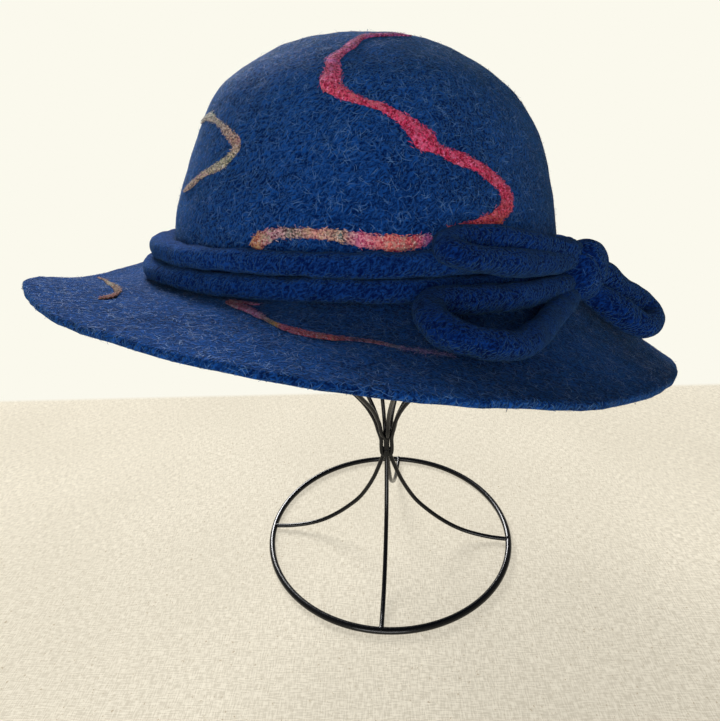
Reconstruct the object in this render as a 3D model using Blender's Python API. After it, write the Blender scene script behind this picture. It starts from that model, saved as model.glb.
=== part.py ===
"""A felt cloche hat resting on a wire hat stand, modelled in metres with +Z up.

The crown and brim are one hollow shell of thick felt. Two rolled felt cords band the crown, a bow of
thicker cord is tied over them at the right, and a few slubby yarns are felted into the surface. The stand
is one welded piece of wire: a base ring, four arched legs and a domed head of eight ribs. The hat leans a
little on the stand, and everything about it is placed in the hat's own frame: the origin is the middle of
the groove between the two band cords, +X is the side with the bow and -Y is the side that faces the viewer.
"""

import math

import bmesh
import bpy
from mathutils import Euler, Matrix, Vector
from mathutils.bvhtree import BVHTree

# Clearance between neighbouring pieces
GAP = 0.0003

# Felt shell
FELT = 0.003
CROWN_HALF_LENGTH = 0.0995
CROWN_HALF_BREADTH = 0.0895
CROWN_HEIGHT = 0.101
BRIM_WIDTH = 0.062
BRIM_DROP = 0.050
BRIM_HOLLOW = 0.002
SHELL_COLUMNS = 48
RINGS_PER_ROW = 2
BRIM_RINGS = 5

# Rolled cords of the band and of the bow
BAND_CORD = 0.0094
BOW_CORD = 0.0115
UPPER_CORD_EASE = 0.003
LOWER_CORD_EASE = 0.008
KNOT_ACROSS = 0.020
KNOT_HIGH = 0.025
KNOT_DEEP = 0.018
KNOT_AZIMUTH = -37.0

# Yarns felted into the surface
YARN_WIDTH = 0.0042
YARN_THICK = 0.0014

# Wire stand
RING_RADIUS = 0.082
RING_WIRE = 0.004
LEG_WIRE = 0.0028
RIB_WIRE = 0.0026
HUB_HEIGHT = 0.066
HUB_RADIUS = 0.0040
LEG_OVERLAP = 0.016
HEAD_RADIUS = 0.060
STAND_HEIGHT = 0.2985
LEG_TURNS = (-9.0, 83.0, 178.0, 266.0)
RIB_COUNT = 8
RIB_TURN = 10.0

# How the hat sits on the stand
HAT_TILT = (math.radians(-6.0), math.radians(2.0), 0.0)
HAT_SHIFT = -0.008

# Crown profile: height as a share of CROWN_HEIGHT, reach to the left and to the right as shares of the
# half length; front and back take their mean. The crown leans in more on the left than on the right.
CROWN_ROWS = (
    (0.00, 1.000, 1.000),
    (0.20, 0.985, 0.960),
    (0.40, 0.905, 0.910),
    (0.60, 0.820, 0.820),
    (0.75, 0.725, 0.690),
    (0.87, 0.560, 0.500),
    (0.95, 0.370, 0.300),
    (1.00, 0.000, 0.000),
)

# Brim: azimuth in degrees, width as a share of BRIM_WIDTH, drop of the rim below the band as a share of
# BRIM_DROP. It lies nearly flat at the left and turns down at the right.
BRIM_ROWS = (
    (0, 0.90, 1.08),
    (30, 0.93, 1.02),
    (60, 1.02, 0.84),
    (90, 1.06, 0.62),
    (120, 1.03, 0.42),
    (150, 0.97, 0.28),
    (180, 0.93, 0.30),
    (210, 1.04, 0.06),
    (240, 1.15, 0.13),
    (270, 1.15, 0.34),
    (300, 1.07, 0.63),
    (330, 0.95, 0.85),
)

# Bow loops, each from the knot round to the knot again. Columns: azimuth in degrees; layer, where 0 lies
# on the crown, 1 lies over the band and each further 1 is one bow cord out; height in band cords and in
# bow cords, added; girth as a share of BOW_CORD.
BOW_LOOPS = {
    "bow_loop_upper": (
        (-37.0, 1.20, 0.40, 0.20, 0.62),
        (-44.0, 1.02, 0.62, 0.23, 0.76),
        (-50.0, 0.80, 0.74, 0.28, 0.80),
        (-56.0, 0.52, 0.78, 0.46, 0.84),
        (-62.5, 0.34, 0.78, 0.58, 0.87),
        (-68.0, 0.30, 0.78, 0.62, 0.83),
        (-71.2, 0.42, 0.78, 0.57, 0.84),
        (-73.2, 0.76, 0.70, 0.53, 0.84),
        (-73.0, 1.10, 0.50, 0.54, 0.84),
        (-70.4, 1.26, 0.25, 0.59, 0.86),
        (-66.5, 1.25, 0.00, 0.66, 0.86),
        (-60.8, 1.20, 0.00, 0.52, 0.91),
        (-55.8, 1.16, 0.00, 0.43, 0.87),
        (-50.0, 1.14, 0.00, 0.36, 0.80),
        (-43.5, 1.13, 0.00, 0.30, 0.72),
        (-37.0, 1.13, 0.00, 0.27, 0.60),
    ),
    "bow_loop_lower": (
        (-36.5, 1.12, 0.00, -0.52, 0.60),
        (-42.0, 1.12, 0.00, -0.54, 0.74),
        (-48.0, 1.13, 0.00, -0.58, 0.83),
        (-54.0, 1.14, 0.00, -0.61, 0.87),
        (-60.0, 1.15, 0.00, -0.62, 0.89),
        (-66.5, 1.15, 0.00, -0.60, 0.92),
        (-72.0, 1.17, 0.00, -0.58, 0.95),
        (-76.0, 1.34, 0.00, -0.62, 0.98),
        (-78.2, 1.80, 0.00, -0.76, 1.00),
        (-78.0, 2.60, 0.00, -1.02, 0.98),
        (-75.8, 3.15, 0.00, -1.24, 0.93),
        (-72.5, 3.38, 0.00, -1.40, 0.88),
        (-69.0, 3.45, 0.00, -1.48, 0.86),
        (-65.0, 3.22, 0.00, -1.52, 0.86),
        (-59.4, 2.60, 0.00, -1.46, 0.86),
        (-51.5, 1.85, 0.00, -1.26, 0.86),
        (-44.0, 1.40, 0.00, -1.05, 0.82),
        (-39.5, 1.20, 0.00, -0.88, 0.74),
        (-36.0, 1.12, 0.00, -0.76, 0.60),
    ),
    "bow_loop_right": (
        (-35.0, 1.45, 0.00, 0.06, 0.62),
        (-31.0, 1.80, 0.00, -0.43, 0.92),
        (-27.6, 2.35, 0.00, -1.06, 0.98),
        (-24.6, 2.93, 0.00, -1.57, 0.98),
        (-24.9, 3.34, 0.00, -1.88, 0.92),
        (-27.9, 3.50, 0.00, -2.07, 0.90),
        (-31.6, 3.26, 0.00, -2.10, 0.96),
        (-33.6, 2.66, 0.00, -1.65, 1.04),
        (-34.8, 2.16, 0.00, -1.30, 1.02),
        (-35.6, 1.74, 0.00, -1.00, 0.86),
        (-36.4, 1.42, 0.00, -0.80, 0.60),
    ),
}
LOOP_STEPS = 2
LOOP_SIDES = 8

# Yarns: azimuth in degrees, then the height on the crown as a share of CROWN_HEIGHT, or the place across
# the brim as a share of its width, then the width as a share of YARN_WIDTH.
CROWN_YARNS = {
    "yarn_red_crown": (
        (-66, 0.150, 0.4),
        (-61, 0.168, 0.9),
        (-56, 0.190, 1.1),
        (-52, 0.250, 1.2),
        (-53, 0.310, 1.0),
        (-57, 0.355, 1.0),
        (-61, 0.395, 0.9),
        (-67, 0.425, 0.9),
        (-74, 0.480, 1.5),
        (-79, 0.550, 0.9),
        (-85, 0.600, 0.8),
        (-92, 0.630, 0.9),
        (-99, 0.680, 1.1),
        (-99, 0.735, 1.0),
        (-100, 0.785, 1.0),
        (-95, 0.845, 0.9),
        (-88, 0.900, 0.8),
        (-60, 0.920, 0.5),
    ),
    "yarn_mixed_crown": (
        (-115, 0.100, 0.6),
        (-114, 0.125, 1.0),
        (-110, 0.150, 0.9),
        (-104, 0.156, 0.8),
        (-96, 0.150, 0.9),
        (-90, 0.132, 1.2),
        (-84, 0.120, 1.2),
        (-78, 0.120, 0.9),
    ),
    "yarn_tan_crown": (
        (-158, 0.60, 0.5),
        (-148, 0.61, 0.8),
        (-139, 0.58, 0.8),
        (-131, 0.53, 1.1),
        (-126, 0.48, 1.2),
        (-128, 0.43, 0.9),
        (-132, 0.40, 0.8),
        (-139, 0.37, 0.8),
        (-145, 0.33, 0.9),
        (-152, 0.30, 0.4),
    ),
}
BRIM_YARNS = {
    "yarn_brim_front": (
        (-119, 0.19, 0.9),
        (-112, 0.28, 1.1),
        (-105, 0.41, 0.8),
        (-100.5, 0.48, 1.0),
        (-95.5, 0.515, 1.0),
        (-89, 0.515, 0.6),
        (-84.5, 0.56, 0.6),
    ),
    "yarn_brim_left": (
        (-172, 0.74, 0.5),
        (-160, 0.56, 0.8),
        (-149, 0.5, 1.0),
        (-143.5, 0.5, 0.9),
        (-138.7, 0.55, 0.8),
        (-136, 0.62, 0.8),
        (-135, 0.68, 0.5),
    ),
}
YARN_STEPS = 2

# Ribs of the stand's head, from the hub up: reach as a share of HEAD_RADIUS beyond the hub, height as a
# share of the way from the hub to the top.
RIB_ROWS = (
    (0.02, 0.07),
    (0.07, 0.12),
    (0.19, 0.175),
    (0.46, 0.255),
    (0.76, 0.345),
    (0.95, 0.46),
    (1.00, 0.58),
    (0.94, 0.71),
    (0.78, 0.835),
    (0.52, 0.93),
    (0.26, 0.98),
)

# Legs, from the base ring in to the hub: reach as a share of RING_RADIUS, height as a share of HUB_HEIGHT.
LEG_ROWS = (
    (1.00, 0.00),
    (0.83, 0.015),
    (0.68, 0.05),
    (0.55, 0.11),
    (0.43, 0.20),
    (0.32, 0.30),
    (0.225, 0.42),
    (0.145, 0.56),
    (0.085, 0.70),
    (0.035, 0.86),
)

MATERIALS = {
    "felt": ((0.010, 0.045, 0.150), 0.95, 0.0),
    "cord_felt": ((0.009, 0.038, 0.125), 0.95, 0.0),
    "yarn": ((0.450, 0.050, 0.060), 0.90, 0.0),
    "wire": ((0.010, 0.010, 0.010), 0.30, 0.6),
}


def clear_scene():
    for thing in list(bpy.data.objects):
        bpy.data.objects.remove(thing, do_unlink=True)


def material(name):
    found = bpy.data.materials.get(name)
    if found:
        return found
    colour, roughness, metallic = MATERIALS[name]
    made = bpy.data.materials.new(name)
    made.use_nodes = True
    shader = made.node_tree.nodes["Principled BSDF"]
    shader.inputs["Base Color"].default_value = (*colour, 1.0)
    shader.inputs["Roughness"].default_value = roughness
    shader.inputs["Metallic"].default_value = metallic
    return made


def add_object(name, mesh, finish, parent=None, smooth_under=50.0):
    thing = bpy.data.objects.new(name, mesh)
    bpy.context.collection.objects.link(thing)
    mesh.materials.clear()
    mesh.materials.append(material(finish))
    mesh.shade_smooth()
    mesh.set_sharp_from_angle(angle=math.radians(smooth_under))
    thing.parent = parent
    return thing


def evaluated_mesh(thing):
    bpy.context.view_layer.update()
    graph = bpy.context.evaluated_depsgraph_get()
    return bpy.data.meshes.new_from_object(thing.evaluated_get(graph))


def discard(things):
    for thing in things:
        bpy.data.objects.remove(thing, do_unlink=True)


def curve_value(before, start, end, after, share):
    """A point on the smooth curve that passes through start and end."""
    square = share * share
    cube = square * share
    return tuple(
        0.5 * (2 * b + (c - a) * share + (2 * a - 5 * b + 4 * c - d) * square + (3 * b - a - 3 * c + d) * cube)
        for a, b, c, d in zip(before, start, end, after)
    )


def smooth_row(rows, place):
    """The row at a fractional place in an open table."""
    first = min(int(place), len(rows) - 2)
    start = rows[first]
    end = rows[first + 1]
    before = rows[first - 1] if first > 0 else tuple(2 * a - b for a, b in zip(start, end))
    after = rows[first + 2] if first + 2 < len(rows) else tuple(2 * b - a for a, b in zip(start, end))
    return curve_value(before, start, end, after, place - first)


def smooth_rows(rows, steps):
    """An open table read at a few more places between its rows."""
    count = (len(rows) - 1) * steps
    return [smooth_row(rows, step / steps) for step in range(count + 1)]


def crown_foot():
    """Depth of the crown's foot below the groove of the band."""
    return BAND_CORD + 1.5 * GAP


def crown_profile():
    """The crown's rows from its foot up, with a mirrored row past the top so that it closes level."""
    foot = (-crown_foot() / CROWN_HEIGHT, 1.0, 1.0)
    under_top = CROWN_ROWS[-2]
    mirrored = (under_top[0], -under_top[1], -under_top[2])
    return (foot, *CROWN_ROWS, mirrored)


def crown_place(height):
    """Where in the profile the crown reaches a height share."""
    low = 0.0
    high = float(len(CROWN_ROWS))
    for _ in range(30):
        middle = (low + high) / 2
        if smooth_row(crown_profile(), middle)[0] < height:
            low = middle
        else:
            high = middle
    return low


def crown_point(azimuth, place):
    height, left, right = smooth_row(crown_profile(), place)
    cosine = math.cos(azimuth)
    side = left if cosine < 0 else right
    return Vector((
        CROWN_HALF_LENGTH * side * cosine,
        CROWN_HALF_BREADTH * 0.5 * (left + right) * math.sin(azimuth),
        CROWN_HEIGHT * height,
    ))


def wall_reach(azimuth):
    """Distance from the hat's axis to the crown's wall at the band."""
    along = math.cos(azimuth) / CROWN_HALF_LENGTH
    across = math.sin(azimuth) / CROWN_HALF_BREADTH
    return 1.0 / math.hypot(along, across)


def brim_row(azimuth):
    """Brim width and rim drop at an azimuth, read smoothly round the table."""
    count = len(BRIM_ROWS)
    place = (azimuth / math.tau * count) % count
    first = int(place)
    rows = [BRIM_ROWS[(first + step) % count][1:] for step in (-1, 0, 1, 2)]
    width, drop = curve_value(*rows, place - first)
    return width * BRIM_WIDTH, drop * BRIM_DROP


def brim_height(azimuth, out):
    """Height of the brim's top at a distance out from the crown's wall."""
    width, drop = brim_row(azimuth)
    seat = BAND_CORD / 2 + GAP
    share = max(out - seat, 0.0) / (width - seat)
    foot = -crown_foot()
    return foot + (-drop - foot) * share - 4 * BRIM_HOLLOW * share * max(1 - share, 0.0)


def at_wall(azimuth, out, height):
    """A point outside the crown's wall, in the hat's frame."""
    reach = wall_reach(azimuth) + out
    return Vector((reach * math.cos(azimuth), reach * math.sin(azimuth), height))


def brim_point(azimuth, share):
    out = brim_row(azimuth)[0] * share
    return at_wall(azimuth, out, brim_height(azimuth, out))


def ring_of(bm, points):
    return [bm.verts.new(point) for point in points]


def bridge(bm, lower, upper):
    """Faces between two closed rings of vertices, counter-clockwise from outside."""
    count = len(lower)
    for index in range(count):
        after = (index + 1) % count
        bm.faces.new((lower[index], lower[after], upper[after], upper[index]))


def mesh_from(bm, name):
    mesh = bpy.data.meshes.new(name)
    bm.normal_update()
    bm.to_mesh(mesh)
    bm.free()
    return mesh


def felt_body(hat):
    """Crown and brim as one sheet, rim to top, thickened inwards."""
    bm = bmesh.new()
    azimuths = [math.tau * column / SHELL_COLUMNS for column in range(SHELL_COLUMNS)]
    seat = BAND_CORD / 2 + GAP
    rings = []
    for step in range(BRIM_RINGS, -1, -1):
        points = []
        for azimuth in azimuths:
            width = brim_row(azimuth)[0]
            out = seat + (width - seat) * step / BRIM_RINGS
            points.append(at_wall(azimuth, out, brim_height(azimuth, out)))
        rings.append(ring_of(bm, points))
    top_place = len(CROWN_ROWS)
    for step in range(top_place * RINGS_PER_ROW):
        place = step / RINGS_PER_ROW
        rings.append(ring_of(bm, [crown_point(azimuth, place) for azimuth in azimuths]))
    for lower, upper in zip(rings, rings[1:]):
        bridge(bm, lower, upper)
    top = bm.verts.new(crown_point(0.0, top_place))
    last = rings[-1]
    for index in range(SHELL_COLUMNS):
        bm.faces.new((last[index], last[(index + 1) % SHELL_COLUMNS], top))
    shell = add_object("felt_body", mesh_from(bm, "felt_body"), "felt", hat)
    thicken = shell.modifiers.new("felt_thickness", "SOLIDIFY")
    thicken.thickness = FELT
    thicken.offset = -1.0
    thicken.use_even_offset = True
    return shell


def sweep(name, centres, radii, sides, closed=False, up=Vector((0.0, 0.0, 1.0)), flat=1.0):
    """A tube along centres. Its section is a regular polygon with a flat side facing away from up, and
    flat squashes it along up."""
    bm = bmesh.new()
    count = len(centres)
    rings = []
    normal = up.copy()
    for index, centre in enumerate(centres):
        before = centres[index - 1] if closed or index else centre
        after = centres[(index + 1) % count] if closed or index + 1 < count else centre
        along = (after - before).normalized()
        normal = (normal - along * normal.dot(along)).normalized()
        side = along.cross(normal)
        ring = []
        for corner in range(sides):
            turn = math.tau * (corner + 0.5) / sides - math.pi / 2
            ring.append(centre + radii[index] * (side * math.cos(turn) + normal * flat * math.sin(turn)))
        rings.append(ring_of(bm, ring))
    pairs = list(zip(rings, rings[1:]))
    if closed:
        pairs.append((rings[-1], rings[0]))
    for lower, upper in pairs:
        bridge(bm, lower, upper)
    if not closed:
        bm.faces.new(list(reversed(rings[0])))
        bm.faces.new(rings[-1])
    bmesh.ops.recalc_face_normals(bm, faces=bm.faces)
    return mesh_from(bm, name)


def band_cord(name, height, ease, hat, columns=48, sides=8):
    """A closed rolled cord round the crown's foot, which stands off the wall by its ease at the left."""
    centres = []
    for column in range(columns):
        azimuth = math.tau * column / columns
        out = BAND_CORD / 2 + GAP + ease * max(-math.cos(azimuth), 0.0) ** 2
        centres.append(at_wall(azimuth, out, height))
    mesh = sweep(name, centres, [BAND_CORD / 2] * columns, sides, closed=True)
    return add_object(name, mesh, "cord_felt", hat)


def bow_out(layer):
    """Distance out from the crown's wall for a bow cord's centre line."""
    on_wall = BOW_CORD / 2 + GAP
    over_band = max(BAND_CORD + GAP, 0.85 * BOW_CORD)
    if layer < 1:
        return on_wall + over_band * layer
    return on_wall + over_band + BOW_CORD * (layer - 1)


def bow_centre(azimuth, layer, bands, cords, girth):
    """A point of a bow loop's centre line, kept clear of the brim below it."""
    out = bow_out(layer)
    step = 0.002
    slope = (brim_height(azimuth, out + step) - brim_height(azimuth, out)) / step
    resting = brim_height(azimuth, out) + (girth * BOW_CORD / 2 + 2 * GAP) * math.hypot(1.0, slope)
    height = bands * BAND_CORD + cords * BOW_CORD
    return at_wall(azimuth, out, max(height, resting))


def knot_ball(name, grow):
    """The knot as a rounded lump over the band, grown by a clearance when it cuts the loops."""
    bm = bmesh.new()
    bmesh.ops.create_icosphere(bm, subdivisions=3, radius=1.0)
    azimuth = math.radians(KNOT_AZIMUTH)
    out = BAND_CORD + 2 * GAP + KNOT_DEEP / 2
    centre = at_wall(azimuth, out, 0.0)
    turn = Matrix.Rotation(azimuth, 4, "Z")
    sizes = (KNOT_DEEP / 2 + grow, KNOT_ACROSS / 2 + grow, KNOT_HIGH / 2 + grow)
    for vert in bm.verts:
        squarer = [math.copysign(abs(value) ** 0.85, value) for value in vert.co]
        vert.co = centre + turn @ Vector([value * size for value, size in zip(squarer, sizes)])
    return mesh_from(bm, name)


def bow(hat):
    """The knot, and three loops that end a clearance short of it."""
    knot = add_object("bow_knot", knot_ball("bow_knot", 0.0), "cord_felt", hat)
    for name, rows in BOW_LOOPS.items():
        radians = [(math.radians(row[0]), *row[1:]) for row in rows]
        finer = smooth_rows(radians, LOOP_STEPS)
        centres = [bow_centre(*row) for row in finer]
        radii = [row[-1] * BOW_CORD / 2 for row in finer]
        mesh = sweep(name, centres, radii, LOOP_SIDES)
        loop = add_object(name, mesh, "cord_felt", hat)
        cutter = add_object("knot_cutter", knot_ball("knot_cutter", GAP), "cord_felt", hat)
        trim = loop.modifiers.new("trim_at_knot", "BOOLEAN")
        trim.operation = "DIFFERENCE"
        trim.solver = "EXACT"
        trim.use_self = name != "bow_loop_right"
        trim.object = cutter
        trimmed = evaluated_mesh(loop)
        loop.modifiers.clear()
        loop.data = trimmed
        discard([cutter])
    return knot


def surface_up(at, first, second):
    """The outward normal of a surface given as a function of azimuth and place."""
    step = 0.01
    along = at(first + step, second) - at(first - step, second)
    across = at(first, second + step) - at(first, second - step)
    return along.cross(across).normalized()


def yarn_strip(name, rows, at, hat, outward):
    """A flat strand that follows the felt a clearance above it."""
    radians = [(math.radians(azimuth), place, girth) for azimuth, place, girth in rows]
    bm = bmesh.new()
    stations = []
    for azimuth, place, girth in smooth_rows(radians, YARN_STEPS):
        normal = surface_up(at, azimuth, place) * outward
        stations.append((at(azimuth, place), normal, girth))
    rings = []
    for index, (point, normal, girth) in enumerate(stations):
        before = stations[max(index - 1, 0)][0]
        after = stations[min(index + 1, len(stations) - 1)][0]
        side = (after - before).cross(normal).normalized() * YARN_WIDTH * girth / 2
        low = point + normal * 2 * GAP
        high = low + normal * YARN_THICK * min(girth, 1.0)
        rings.append(ring_of(bm, (low - side, low + side, high + side * 0.4, high - side * 0.4)))
    for lower, upper in zip(rings, rings[1:]):
        bridge(bm, lower, upper)
    bm.faces.new(list(reversed(rings[0])))
    bm.faces.new(rings[-1])
    bmesh.ops.recalc_face_normals(bm, faces=bm.faces)
    return add_object(name, mesh_from(bm, name), "yarn", hat)


def yarns(hat):
    for name, rows in CROWN_YARNS.items():
        placed = [(azimuth, crown_place(height), girth) for azimuth, height, girth in rows]
        yarn_strip(name, placed, crown_point, hat, 1.0)
    for name, rows in BRIM_YARNS.items():
        yarn_strip(name, rows, brim_point, hat, -1.0)


def upright_wire(name, rows, turn, wire, sides=5):
    """A wire bent in the upright plane at a turn about the stand's axis. Rows hold reach and height."""
    heading = Vector((math.cos(turn), math.sin(turn), 0.0))
    across = Vector((-math.sin(turn), math.cos(turn), 0.0))
    centres = [heading * reach + Vector((0.0, 0.0, height)) for reach, height in rows]
    return sweep(name, centres, [wire / 2] * len(centres), sides, up=across)


def wire_stand(hat_stand):
    """Base ring, legs and ribs, welded into one solid."""
    ring_sides = 8
    ring_columns = 40
    ring_height = RING_WIRE / 2 * math.cos(math.pi / ring_sides)
    circle = [
        Vector((RING_RADIUS * math.cos(turn), RING_RADIUS * math.sin(turn), ring_height))
        for turn in (math.tau * column / ring_columns for column in range(ring_columns))
    ]
    ring_mesh = sweep("wire_stand", circle, [RING_WIRE / 2] * ring_columns, ring_sides, closed=True)
    stand = add_object("wire_stand", ring_mesh, "wire", hat_stand)

    welded = bpy.data.collections.new("welded_wires")
    leg_bundle = LEG_WIRE / 2 / math.sin(math.pi / len(LEG_TURNS))
    leg_rows = [
        (leg_bundle + (RING_RADIUS - leg_bundle) * reach, ring_height + (HUB_HEIGHT - ring_height) * height)
        for reach, height in LEG_ROWS
    ]
    leg_rows += [(leg_bundle, HUB_HEIGHT), (leg_bundle, HUB_HEIGHT + LEG_OVERLAP)]
    rise = STAND_HEIGHT - RIB_WIRE / 2 - HUB_HEIGHT
    rib_rows = [(HUB_RADIUS * 0.8, HUB_HEIGHT)]
    rib_rows += [
        (HUB_RADIUS + (HEAD_RADIUS - HUB_RADIUS) * reach, HUB_HEIGHT + rise * height)
        for reach, height in RIB_ROWS
    ]
    rib_rows.append((0.0, HUB_HEIGHT + rise))
    wires = []
    for turn in LEG_TURNS:
        mesh = upright_wire("leg", leg_rows, math.radians(turn), LEG_WIRE)
        wires.append(bpy.data.objects.new("leg", mesh))
    for rib in range(RIB_COUNT):
        turn = math.radians(RIB_TURN) + math.tau * rib / RIB_COUNT
        mesh = upright_wire("rib", smooth_rows(rib_rows, 2), turn, RIB_WIRE)
        wires.append(bpy.data.objects.new("rib", mesh))
    for wire in wires:
        welded.objects.link(wire)
    bpy.context.scene.collection.children.link(welded)
    weld = stand.modifiers.new("weld", "BOOLEAN")
    weld.operation = "UNION"
    weld.solver = "EXACT"
    weld.operand_type = "COLLECTION"
    weld.collection = welded
    fused = evaluated_mesh(stand)
    stand.modifiers.clear()
    stand.data = fused
    discard(wires)
    bpy.data.collections.remove(welded)
    return stand


def world_tree(thing):
    mesh = evaluated_mesh(thing)
    corners = [thing.matrix_world @ vert.co for vert in mesh.vertices]
    faces = [list(face.vertices) for face in mesh.polygons]
    return BVHTree.FromPolygons(corners, faces), corners


def seat_hat(hat, shell, stand):
    """Lowers or lifts the hat until the crown's inside is a clearance above the wire head."""
    shell_tree, shell_corners = world_tree(shell)
    stand_tree, stand_corners = world_tree(stand)
    upwards = Vector((0.0, 0.0, 1.0))
    rises = []
    for corner in stand_corners:
        if corner.z > STAND_HEIGHT - 0.5 * HEAD_RADIUS:
            struck = shell_tree.ray_cast(corner, upwards)[0]
            if struck:
                rises.append(struck.z - corner.z)
    for corner in shell_corners:
        struck = stand_tree.ray_cast(corner, -upwards)[0]
        if struck and struck.z > STAND_HEIGHT - 0.5 * HEAD_RADIUS:
            rises.append(corner.z - struck.z)
    hat.location.z += GAP - min(rises)
    bpy.context.view_layer.update()


def set_on_origin(whole):
    """Moves everything so that the middle of its bounding box stands on the origin."""
    corners = []
    for thing in bpy.data.objects:
        if thing.type == "MESH":
            corners += world_tree(thing)[1]
    for axis in (0, 1):
        values = [corner[axis] for corner in corners]
        whole.location[axis] -= (min(values) + max(values)) / 2
    whole.location.z -= min(corner.z for corner in corners)
    bpy.context.view_layer.update()


def empty(name, parent=None):
    thing = bpy.data.objects.new(name, None)
    bpy.context.collection.objects.link(thing)
    thing.parent = parent
    return thing


def build():
    clear_scene()
    whole = empty("hat_on_stand")
    hat = empty("hat", whole)
    hat.rotation_euler = Euler(HAT_TILT)
    hat.location = (HAT_SHIFT, 0.0, STAND_HEIGHT - CROWN_HEIGHT + 2 * FELT)
    shell = felt_body(hat)
    level = (BAND_CORD + GAP) / 2
    band_cord("band_cord_upper", level, UPPER_CORD_EASE, hat)
    band_cord("band_cord_lower", -level, LOWER_CORD_EASE, hat)
    bow(hat)
    yarns(hat)
    stand = wire_stand(whole)
    seat_hat(hat, shell, stand)
    set_on_origin(whole)


build()
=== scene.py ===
"""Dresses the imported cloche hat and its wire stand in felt, cord, yarn and black paint.

Everything of the hat is laid out in the hat's own frame: the origin is the middle of the groove between
the two band cords, +X is the side with the bow and -Y faces the viewer. The stand is laid out from the
middle of its base ring on the floor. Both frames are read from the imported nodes. Lengths are metres.
"""

import math
import random

import bmesh
import bpy
from mathutils import Euler, Matrix, Vector, noise
from mathutils.bvhtree import BVHTree


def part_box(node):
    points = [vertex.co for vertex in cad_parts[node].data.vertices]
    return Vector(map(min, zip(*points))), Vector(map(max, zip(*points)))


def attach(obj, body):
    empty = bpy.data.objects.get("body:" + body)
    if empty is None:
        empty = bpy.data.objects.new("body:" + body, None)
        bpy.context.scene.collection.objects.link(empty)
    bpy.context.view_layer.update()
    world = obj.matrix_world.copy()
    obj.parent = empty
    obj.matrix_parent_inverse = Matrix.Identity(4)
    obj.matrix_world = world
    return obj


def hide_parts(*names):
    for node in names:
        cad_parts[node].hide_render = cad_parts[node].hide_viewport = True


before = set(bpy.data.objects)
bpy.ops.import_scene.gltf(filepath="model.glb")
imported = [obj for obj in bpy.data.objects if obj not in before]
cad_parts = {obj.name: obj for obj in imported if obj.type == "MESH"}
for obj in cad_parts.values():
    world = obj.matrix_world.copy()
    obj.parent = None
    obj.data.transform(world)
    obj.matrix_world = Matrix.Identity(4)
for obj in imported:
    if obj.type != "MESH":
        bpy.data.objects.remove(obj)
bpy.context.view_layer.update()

# Felt shell, cords and how the hat is set
FELT = 0.003
GAP = 0.0003
CROWN_HALF_LENGTH = 0.0995
CROWN_HALF_BREADTH = 0.0895
CROWN_HEIGHT = 0.101
BRIM_WIDTH = 0.062
BRIM_DROP = 0.050
BRIM_HOLLOW = 0.002
BAND_CORD = 0.0094
CROWN_FOOT = -(BAND_CORD + 1.5 * GAP)
BOW_CORD = 0.0115
UPPER_CORD_EASE = 0.003
LOWER_CORD_EASE = 0.008
HAT_TILT = (math.radians(-6.0), math.radians(2.0), 0.0)
HAT_SHIFT = -0.008

# Knot
KNOT_AZIMUTH = math.radians(-37.0)
KNOT_ACROSS = 0.0205
KNOT_HIGH = 0.0255
KNOT_DEEP = 0.0185
KNOT_SINK = 0.0010
KNOT_SLANT = math.radians(28.0)
KNOT_CREASES = (-0.0034, 0.0036)
CREASE_WIDTH = 0.0008
CREASE_DEPTH = 0.0007

# The band's cords are pulled tight on this side, where the bow is tied over them: there they are slimmer by
# this share, and the upper one sinks.
BOW_SIDE = math.radians(5.0)
BOW_SQUEEZE = 0.26
UPPER_CORD_SINK = 0.0022

# Stand
RING_RADIUS = 0.082
RING_WIRE = 0.004
LEG_WIRE = 0.0028
RIB_WIRE = 0.0026
HUB_BOTTOM = 0.0645
HUB_TOP = 0.0775
HEAD_RADIUS = 0.060
LEG_TURNS = (-9.0, 83.0, 178.0, 266.0)
BEAD_RADIUS = 0.0021
BEAD_HALF_HEIGHT = 0.0015
BEAD_INSET = 0.0006
BEAD_LEVEL = 0.0026

# Hairpin wires of the head: the turns of their left and right rib in degrees, then the side and the depth at
# which their eye stands in the hub, as shares of EYE_ASIDE and EYE_DEEP
HAIRPINS = (
    (190, 235, -1, -1),
    (280, 325, 1, -1),
    (145, 100, -1, 1),
    (55, 10, 1, 1),
)
EYE_ASIDE = 0.0020
EYE_DEEP = 0.0016
EYE_HALF_WIDTH = RIB_WIRE / 2 + 0.00005

# The eye from the hub's top down: half width as a share of EYE_HALF_WIDTH, height in metres
EYE_ROWS = (
    (1.00, HUB_TOP),
    (1.10, 0.0725),
    (1.00, 0.0692),
    (0.72, 0.0668),
)

# Crown profile: height as a share of CROWN_HEIGHT, reach to the left and right as shares of the half length
CROWN_ROWS = (
    (0.00, 1.000, 1.000),
    (0.20, 0.985, 0.960),
    (0.40, 0.905, 0.910),
    (0.60, 0.820, 0.820),
    (0.75, 0.725, 0.690),
    (0.87, 0.560, 0.500),
    (0.95, 0.370, 0.300),
    (1.00, 0.000, 0.000),
)

# Brim every 30 degrees from +X: width as a share of BRIM_WIDTH, rim drop as a share of BRIM_DROP
BRIM_ROWS = (
    (0.90, 1.08),
    (0.93, 1.02),
    (1.02, 0.84),
    (1.06, 0.62),
    (1.03, 0.42),
    (0.97, 0.28),
    (0.93, 0.30),
    (1.04, 0.06),
    (1.15, 0.13),
    (1.15, 0.34),
    (1.07, 0.63),
    (0.95, 0.85),
)

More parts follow.
